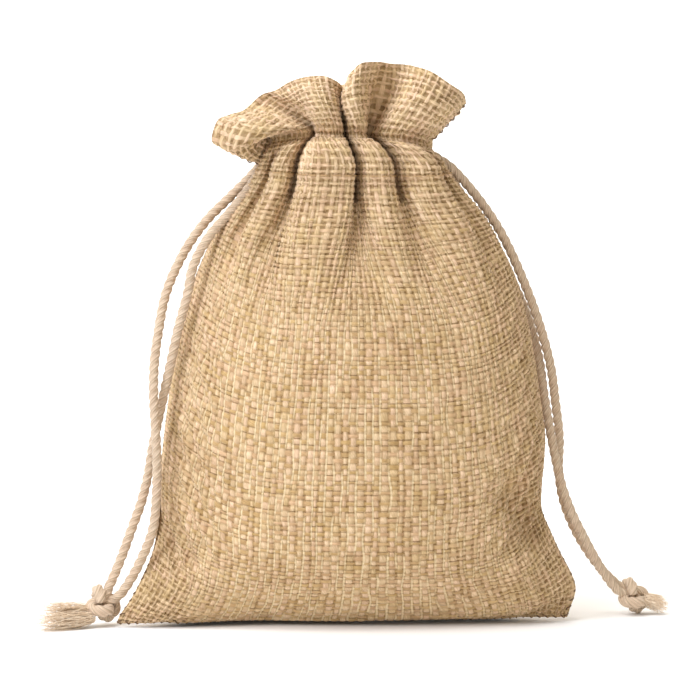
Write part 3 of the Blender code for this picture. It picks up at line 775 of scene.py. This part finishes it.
def cloth_material():
    """Undyed jute-look cloth, a pale warp and a tan weft, with no two threads or crossings quite alike."""
    n = Nodes("jute_cloth", roughness=0.85, specular=0.18, sheen=0.10)
    _, s, t = n.place("Cloth")
    i, j = n.math("FLOOR", s), n.math("FLOOR", t)
    from_warp, from_weft = n.from_half(s) * 2.0, n.from_half(t) * 2.0

    def noise(x, y, z, detail):
        return n.noise(n.vector(x, y, z), detail)

    def thread_height(over, across, along, size):
        wave = over * 0.5 * n.math("COSINE", along * (math.pi / 2)) ** 0.7
        inside = 1.0 - (across / size) ** 2.0
        arch = n.math("SQRT", n.highest(inside, 0.0)) * 0.5
        return wave + arch - (across > size) * 2.0

    # Which thread is on top: the higher of the two, or neither in the hole between four threads
    loose = looseness(s, t, n.ramp, n.highest)
    narrow = loose * -0.28
    over = (1.0 - n.math("MODULO", i + j, 2.0)) * 2.0 - 1.0
    warp_size = n.scaled(noise(i * 1.37, t * 0.25, 60.0, 1.0), 0.3, 0.7, 0.54, 0.82)
    weft_size = n.scaled(noise(s * 0.25, j * 2.11, 80.0, 1.0), 0.3, 0.7, 0.50, 0.80)
    warp_height = thread_height(over, from_warp, from_weft, warp_size + narrow)
    weft_height = thread_height(over * -1.0, from_weft, from_warp, weft_size + narrow)
    warp_top = warp_height > weft_height
    height = n.highest(n.highest(warp_height, weft_height), -0.4)

    def pick(warp, weft):
        """One value where a warp thread is on top, and the other where a weft thread is."""
        return weft + warp_top * (warp - weft)

    thread = pick(i * 1.37 + 0.5, j * 2.11 + 300.5)
    along, sideways = pick(t, s), pick(s, t)

    # Colour: each thread's own, changing slowly along it, and a little of each crossing's own
    rosy = noise(thread, along * 0.21, 40.0, 0.0)
    colour = n.mix(n.highest(warp_top, loose * 0.85), CLOTH_TAN, CLOTH_PALE)
    colour = n.mix(n.scaled(rosy, 0.46, 0.66, 0.0, 0.34), colour, CLOTH_ROSY)
    colour = n.mix(n.scaled(rosy, 0.46, 0.28, 0.0, 0.34), colour, CLOTH_GOLD)
    slub = noise(thread, along * 0.8, 7.0, 2.0)
    fibre = noise(sideways * 8.0 + along * 2.2, along * 1.2, thread, 3.0)
    # Painted light: from the gathered neck up into the ruffle the cloth is painted up to a fifth lighter,
    # standing in for light that comes through its open weave
    ruffle = n.scaled(t, 82.0, 110.0, 1.0, 1.20)
    own = n.scaled(noise(thread, along * 0.13, 0.0, 1.0), 0.30, 0.70, 0.90, 1.08)
    crossing = n.scaled(n.dice(i, j, 5.0), 0.0, 1.0, 0.93, 1.07)
    patch = n.scaled(noise(s * 0.07, t * 0.07, 2.0, 2.0), 0.3, 0.7, 0.95, 1.04)
    fibres, slubs = n.scaled(fibre, 0.28, 0.72, 0.80, 1.14), n.scaled(slub, 0.30, 0.70, 0.90, 1.06)

    # Painted shade: threads are painted darker where they dip low, a painted shadow lies on some of their
    # ends where they dive under, and the holes between four threads are painted dark, darker where the cloth
    # is loose
    near_i, near_j = n.math("ROUND", s), n.math("ROUND", t)
    low = n.scaled(height, -0.05, 0.75, 0.84, 1.04)
    hole_painted_shade = n.scaled(n.dice(near_i, near_j, 9.0), 0.0, 1.0, 0.86, 0.54) + (1.0 - loose) * 0.14
    hole = 1.0 - (height < -0.3) * (1.0 - hole_painted_shade)
    dive_shadow_strength = n.scaled(n.dice(i, near_j, 13.0), 0.50, 1.0, 0.0, 0.55)
    dive_shadow = 1.0 - dive_shadow_strength * n.scaled(from_weft, 0.70, 0.92) * n.scaled(from_warp, 0.95, 0.60)
    # The threads' own tone, times the ruffle's painted light and the painted shade above
    tone_and_painted_light = ruffle * own * crossing * fibres * slubs * patch * low * hole * dive_shadow

    # Painted highlights: thin pale lines up the cloth between two warp threads, where the thread edges catch
    # the light; they lift the painted shade there and turn the colour paler
    wander = n.scaled(noise(near_i, t * 0.15, 21.0, 1.0), 0.2, 0.8, -0.16, 0.16)
    present = n.scaled(noise(near_i * 3.1, t * 0.12, 91.0, 1.0), 0.42, 0.52, 0.0, 0.85)
    line = n.scaled(abs(s - near_i - wander), 0.16, 0.07) * present * (1.0 - loose * 0.7)

    tone_and_painted_light = tone_and_painted_light + line * (1.0 - tone_and_painted_light)
    # Painted shade turns warmer as it darkens: green and blue fall faster than red
    warm = n.vector(tone_and_painted_light, tone_and_painted_light**1.16, tone_and_painted_light**1.52)
    n.paint(n.mix(1.0, n.mix(line, colour, CLOTH_EDGE_HIGHLIGHT), warm, "MULTIPLY"))
    n.bump(height + line * 0.3 + fibre * 0.5 + slub, strength=0.6, distance=0.0004)
    return n.material


def thread_material(name, dark, pale):
    """Twisted sewing thread, between two colours."""
    n = Nodes(name, roughness=0.7, specular=0.3)
    _, around, along = n.place("Cord")
    ply = n.from_half(around * 3.0 + along * 1.5)
    n.paint(n.mix(n.scaled(ply, 0.0, 0.5), dark, pale))
    n.bump(ply, strength=0.5, distance=0.0001)
    return n.material


def fibre_material():
    """The loose cotton fibres of the cords' frayed ends, paler than the cord."""
    n = Nodes("cotton_fibre", roughness=0.8, specular=0.2)
    uv, _, _ = n.place("Cord")
    slow = n.noise(uv, 2.0, scale=0.9)
    n.paint(n.mix(n.scaled(slow, 0.36, 0.64), srgb(224, 200, 172), srgb(246, 230, 208)))
    return n.material


def cord_material():
    """Soft twisted cotton: fine fibres along each ply, some paler and some darker, and painted shade in bands
    that follow the twist.
    """
    n = Nodes("cotton_cord", roughness=0.88, specular=0.15, sheen=0.25)
    uv, around, _ = n.place("Cord")
    stretched = n.add("ShaderNodeMapping", {"Vector": uv, "Scale": (7.0, 0.55, 1.0)}).outputs[0]
    fibre, slow = n.noise(stretched, 4.0), n.noise(uv, 2.0, scale=0.12)
    colour = n.mix(n.scaled(fibre, 0.30, 0.68), srgb(188, 160, 134), srgb(230, 211, 186))
    colour = n.mix(n.scaled(slow, 0.40, 0.64, 0.0, 0.35), colour, srgb(208, 178, 154))
    # Painted shade: darker bands that follow the twist of the plies and of the yarns within them
    ply, yarn = n.from_half(around * 0.5) * 2.0, n.from_half(around * 1.5) * 2.0
    twist_painted_shade = n.scaled(ply, 0.0, 0.26, 0.76, 1.0) * n.scaled(yarn, 0.0, 0.5, 0.84, 1.0)
    n.paint(n.mix(1.0, colour, n.vector(twist_painted_shade, twist_painted_shade, twist_painted_shade**1.15), "MULTIPLY"))
    n.bump(fibre + yarn, strength=0.7, distance=0.0002)
    return n.material

# ---- cords


def frames_along(points):
    """Two sideways directions at each point of a line, turning as little as possible."""
    along = np.gradient(np.asarray(points, float), axis=0)
    along /= np.linalg.norm(along, axis=1, keepdims=True)
    side = np.cross(along[0], (0.3, 0.9, 0.2))
    side /= np.linalg.norm(side)
    sides = [side]
    for direction in along[1:]:
        side = side - direction * np.dot(side, direction)
        side /= np.linalg.norm(side)
        sides.append(side)
    sides = np.array(sides)
    return sides, np.cross(along, sides)


def tube_points(line, radius, around):
    """Rings of points round a line. radius has a number for each ring, or one for each point."""
    a, b = frames_along(line)
    turn = np.linspace(0, 2 * math.pi, around, endpoint=False)
    ring = a[:, None] * np.cos(turn)[None, :, None] + b[:, None] * np.sin(turn)[None, :, None]
    return np.asarray(line)[:, None] + ring * np.reshape(radius, (len(line), -1, 1))


def tubes(lines, widths, around):
    """The points and the faces of thin tubes along several lines."""
    points, faces, count = [], [], 0
    for line, width in zip(lines, widths):
        points.append(tube_points(line, width, around).reshape(-1, 3))
        faces.append(grid_faces(len(line), around, closed=True) + count)
        count += len(points[-1])
    return np.concatenate(points), np.concatenate(faces)


def thread_mesh(name, lines, radius, look):
    """Sewing threads with pointed ends along several lines, as one mesh."""
    around, widths, uv = 6, [], []
    for line in lines:
        width = np.full(len(line), radius)
        width[[0, -1]] *= 0.25
        widths.append(width)
        turn, run = np.meshgrid(np.arange(around) / around, np.arange(len(line)) * 0.5)
        uv.append(np.stack([turn, run], axis=2).reshape(-1, 2))
    return make_piece(name, *tubes(lines, widths, around), np.concatenate(uv), look, "seam_thread")


def overlock(name, edge, look):
    """The thread wound over a sewn edge, which shows as small dark loops along it."""
    pitch, radius, around, thickness, lowest = 2.35, 0.38, 14, 0.20, 0.35
    path = even_points(edge, int(gaps(edge).sum() / pitch * around))
    a, b = frames_along(path)
    dice = np.random.default_rng(len(path))
    angle = 2 * math.pi * np.arange(len(path)) / around
    uneven = np.repeat(dice.normal(0, 1, len(path) // around + 1), around)[: len(path)]
    reach = radius * (1 + 0.12 * uneven)
    coil = path + a * (np.cos(angle) * reach)[:, None] + b * (np.sin(angle) * reach)[:, None]
    coil[:, 2] = np.maximum(coil[:, 2], lowest)
    return thread_mesh(name, [coil], thickness, look)


def rope_mesh(name, route, radius, look, lay=8.0):
    """A twisted cord along a route: its section is the outline of its plies, and turns once in each lay."""
    plies, around, step = 3, 30, 0.35
    length = gaps(even_points(route, 400)).sum()
    count = int(length / step) + 2
    points = even_points(route, count)
    distance = np.linspace(0, length, count)
    ply = 0.62 * radius * PLY_SWELL
    offset = radius * PLY_SWELL - ply
    twisted = np.linspace(0, 2 * math.pi, around, endpoint=False) - (2 * math.pi * distance / lay)[:, None]
    local = twisted % (2 * math.pi / plies) - math.pi / plies
    r = offset * np.cos(local) + np.sqrt(np.clip(ply**2 - (offset * np.sin(local)) ** 2, 0, None))
    surface = tube_points(points, r, around)
    # Round the two ends
    for end in (0, -1):
        surface[end] = points[end] + (surface[end] - points[end]) * 0.35
    uv_s = twisted / (2 * math.pi) * plies * 2
    uv = np.stack([uv_s, np.broadcast_to(distance[:, None], uv_s.shape)], axis=2).reshape(-1, 2)
    faces = grid_faces(count, around, closed=True)
    thing = make_piece(name, surface.reshape(-1, 3), faces, uv, look, "cotton_cord")
    mesh = bmesh.new()
    mesh.from_mesh(thing.data)
    mesh.verts.ensure_lookup_table()
    for start in (0, (count - 1) * around):
        mesh.faces.new([mesh.verts[start + k] for k in range(around)])
    bmesh.ops.recalc_face_normals(mesh, faces=mesh.faces)
    mesh.to_mesh(thing.data)
    mesh.free()
    thing.data.shade_smooth()
    return thing, points, length


def knot_route(centre):
    """A trefoil, the shape of a pulled overhand knot, almost closed on itself."""
    size, opening = 1.42, 0.12
    t = np.linspace(opening, 2 * math.pi - opening, 80)
    x, y, z = np.sin(t) + 2 * np.sin(2 * t), np.cos(t) - 2 * np.cos(2 * t), -1.15 * np.sin(3 * t)
    tilt = Matrix.Rotation(0.9, 3, "Y") @ Matrix.Rotation(0.5, 3, "X")
    turned = np.array([list(tilt @ Vector(p)) for p in np.stack([x, y, z], axis=1)])
    return turned * size + np.array(centre)


def fibre_tuft(name, start, end, spread, count, seed, look):
    """Loose fibres that fan out from a cut cord end, each a thin tapering thread."""
    thickness, droop, steps, around, lowest = 0.11, 0.6, 9, 4, 0.25
    dice = np.random.default_rng(seed)
    start, end = np.array(start, float), np.array(end, float)
    length = np.linalg.norm(end - start)
    axis = (end - start) / length
    side = np.cross(axis, (0, 0, 1.0))
    side /= np.linalg.norm(side)
    other = np.cross(axis, side)
    t = np.linspace(0, 1, steps)[:, None]
    lines, widths = [], []
    for _ in range(count):
        a, r = dice.uniform(0, 2 * math.pi), math.sqrt(dice.uniform(0, 1))
        root = start + (side * math.cos(a) + other * math.sin(a)) * r * spread[0]
        tip_r = r * spread[1] * dice.uniform(0.6, 1.35)
        bend = a + dice.normal(0, 0.5)
        reach = length * dice.uniform(0.55, 1.12)
        tip = start + axis * reach + (side * math.cos(bend) + other * math.sin(bend)) * tip_r
        wave = dice.normal(0, 0.35, 3)
        line = root + (tip - root) * t + wave * np.sin(math.pi * t) * length * 0.16
        line[:, 2] = np.maximum(line[:, 2] - droop * (t[:, 0] ** 2), lowest)
        lines.append(line)
        widths.append(thickness * dice.uniform(0.7, 1.3) * (1 - 0.55 * t))
    points, faces = tubes(lines, widths, around)
    uv = np.stack([points[:, 1] * 2, points[:, 0]], axis=1)
    return make_piece(name, points, faces, uv, look, "cotton_cord")

# ---- stage


def studio():
    """A white floor that curves up into a wall, four soft lights and a warm, dim sky."""
    scene = bpy.context.scene
    scene.world = bpy.data.worlds.new("studio")
    scene.world.use_nodes = True
    sky = scene.world.node_tree.nodes["Background"]
    sky.inputs["Color"].default_value = (1.0, 0.88, 0.68, 1.0)
    sky.inputs["Strength"].default_value = 0.44
    scene.view_settings.view_transform = "Standard"

    mesh = bmesh.new()
    profile = [(-3.0, 0.0), (0.9, 0.0), (1.15, 0.05), (1.35, 0.22), (1.45, 0.5), (1.45, 3.0)]
    rings = [[mesh.verts.new((x, y, z)) for y, z in profile] for x in (-4.0, 4.0)]
    for k in range(len(profile) - 1):
        mesh.faces.new((rings[0][k], rings[1][k], rings[1][k + 1], rings[0][k + 1]))
    data = bpy.data.meshes.new("studio_floor")
    mesh.to_mesh(data)
    mesh.free()
    data.shade_smooth()
    floor = bpy.data.objects.new("studio_floor", data)
    scene.collection.objects.link(floor)
    n = Nodes("studio_white", roughness=0.9, specular=0.0)
    n.shader.inputs["Base Color"].default_value = (0.93, 0.93, 0.93, 1.0)
    data.materials.append(n.material)

    white, pouch, wall = (1.0, 1.0, 1.0), (0, 0, 0.07), (0, 1.4, 0.4)
    for name, place, aim, size, power, colour in (
        ("key", (-1.05, -0.75, 0.75), pouch, 0.6, 10.9, (0.90, 0.99, 1.18)),
        ("fill", (0.1, -1.3, 0.12), pouch, 1.2, 2.6, white),
        ("top", (-0.4, -0.3, 1.3), pouch, 0.9, 12.5, white),
        ("wall", (0.0, 0.75, 1.1), wall, 1.6, 16.0, white),
    ):
        light = bpy.data.lights.new(name, "AREA")
        light.color, light.size, light.energy = colour, size, power
        lamp = bpy.data.objects.new(name, light)
        lamp.location = place
        lamp.rotation_euler = (Vector(aim) - Vector(place)).to_track_quat("-Z", "Y").to_euler()
        scene.collection.objects.link(lamp)


def photo_camera():
    """The camera's place: distance from the target in metres, and its turns in degrees."""
    target, distance = Vector((0.0009, 0.0, 0.0775)), 0.8
    azimuth, elevation, roll = math.radians(-7.0), math.radians(3.5), math.radians(1.0)
    data = bpy.data.cameras.new("camera")
    data.sensor_width = 36.0
    data.lens = 144.4
    camera = bpy.data.objects.new("camera", data)
    level = math.cos(elevation)
    back = Vector((math.sin(azimuth) * level, -math.cos(azimuth) * level, math.sin(elevation)))
    turn = (-back).to_track_quat("-Z", "Y").to_matrix() @ Matrix.Rotation(roll, 3, "Z")
    camera.matrix_world = Matrix.Translation(target + back * distance) @ turn.to_4x4()
    bpy.context.scene.collection.objects.link(camera)
    bpy.context.scene.camera = camera

# ---- the pouch


def make_cloth(cloth, cloth_look, stitch_look):
    """Both faces with their hems, and the sewing that holds the hems down."""
    for k, (face, side) in enumerate((("front", -1), ("back", 1))):
        weave = Weave(face, cloth.p[k], side)
        outside, hem = weave.outside(cloth_look), weave.hem(cloth_look)
        for thing in (outside, hem):
            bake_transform(thing)
        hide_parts(face + "_panel", face + "_casing", face + "_heading")
        stitches = weave.stitches(stitch_look)
        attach(stitches, "pouch")
        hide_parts(face + "_casing_stitching")


def make_seams(cloth, look):
    """The overlocked side edges, up to the cord slits, and the bottom edge."""
    welded = cloth.p[0, cloth.welded]
    inset = np.array([0.5, 0, 0])
    edges = {
        "left_side_seam": welded[:, 0] + inset,
        "right_side_seam": welded[:, -1] - inset,
        "bottom_seam": cloth.p[0, 0] + (0, 0, 0.3),
    }
    for node, edge in edges.items():
        thing = overlock(node.replace("seam", "overlock"), edge, look)
        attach(thing, "pouch")
        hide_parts(node)


def make_ruffle_edges(cloth, look):
    """The overlock thread on both side edges of each ruffle, above the slits."""
    free = cloth.v >= PINCH_HIGH
    for k, face in enumerate(("front", "back")):
        for side, edge, next_to_it in (("left", 0, 1), ("right", -1, -2)):
            path = 0.65 * cloth.p[k, free, edge] + 0.35 * cloth.p[k, free, next_to_it]
            thing = overlock(f"{face}_{side}_ruffle_overlock", path, look)
            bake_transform(thing)


def make_cord(side, way, routes, knot_at, pivot, tufts, fibres, spread, look, fibre_look):
    """One side's drawcord: its knot, two frayed ends, two hanging cords and the loop inside the casing.

    way is -1 on the left and 1 on the right. spread is a tuft's radius at its root and at its tip.
    """
    knot, _, _ = rope_mesh(side + "_overhand_knot", knot_route(knot_at), KNOT_CORD_RADIUS, look, lay=9.0)
    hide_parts(side + "_knot")
    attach(knot, side + "_cord_tail")
    for k, (face, (start, end)) in enumerate(zip(("front", "back"), tufts)):
        tuft = fibre_tuft(f"{side}_frayed_end_{k + 1}", start, end, spread, fibres, 20 + k, fibre_look)
        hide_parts(f"{side}_{face}_end")
        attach(tuft, side + "_cord_tail")

    height = 133.0 + way * 1.35
    pivot = Vector(pivot) * MM
    for face, sign, route in (("front", -1, routes[0]), ("back", 1, routes[1])):
        inside = ((way * LOOP_REACH, sign * 3.3, height), (way * 20.0, sign * 2.3, height))
        rope, points, length = rope_mesh(f"{side}_{face}_cord", (*inside, *route, knot_at), CORD_RADIUS, look)
        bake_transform(rope)
        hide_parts(f"{side}_{face}_lead", f"{side}_{face}_strand")
    turn = np.linspace(0.25, 2 * math.pi - 0.25, 40) + (math.pi if way < 0 else 0)
    ring = np.stack([LOOP_REACH * np.cos(turn), 2.4 * np.sin(turn), np.full(40, height)], axis=1)
    loop, _, _ = rope_mesh(side + "_cord_in_casing", ring, CORD_RADIUS, look)
    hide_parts(side + "_cord_loop")
    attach(loop, "pouch")


def make_cords(look, fibre_look):
    """The two drawcords, each with its own lie."""
    make_cord(
        "left",
        -1,
        (LEFT_FRONT_ROUTE, LEFT_BACK_ROUTE),
        knot_at=(-68.8, -9.4, 6.0),
        pivot=(-27.6, 0, 128.5),
        tufts=(((-71.5, -12.4, 2.9), (-85.4, -19.6, 2.8)), ((-72.0, -10.4, 4.2), (-84.6, -15.0, 5.6))),
        fibres=170,
        spread=(1.7, 2.8),
        look=look,
        fibre_look=fibre_look,
    )
    make_cord(
        "right",
        1,
        (RIGHT_FRONT_ROUTE, RIGHT_BACK_ROUTE),
        knot_at=(87.3, 10.2, 5.2),
        pivot=(27.6, 0, 130.6),
        tufts=(((90.3, 9.4, 4.0), (96.6, 8.6, 3.0)), ((90.3, 11.2, 4.6), (96.6, 11.8, 4.0))),
        fibres=130,
        spread=(1.5, 2.0),
        look=look,
        fibre_look=fibre_look,
    )


def main():
    for thing in list(bpy.data.objects):
        bpy.data.objects.remove(thing)
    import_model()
    photo_camera()
    studio()

    make_cords(cord_material(), fibre_material())
    cloth = relaxed_cloth()
    stitch_look = thread_material("casing_thread", srgb(166, 132, 92), srgb(206, 172, 128))
    overlock_look = thread_material("overlock_thread", srgb(70, 52, 40), srgb(146, 116, 88))
    make_cloth(cloth, cloth_material(), stitch_look)
    make_seams(cloth, overlock_look)
    make_ruffle_edges(cloth, overlock_look)


main()
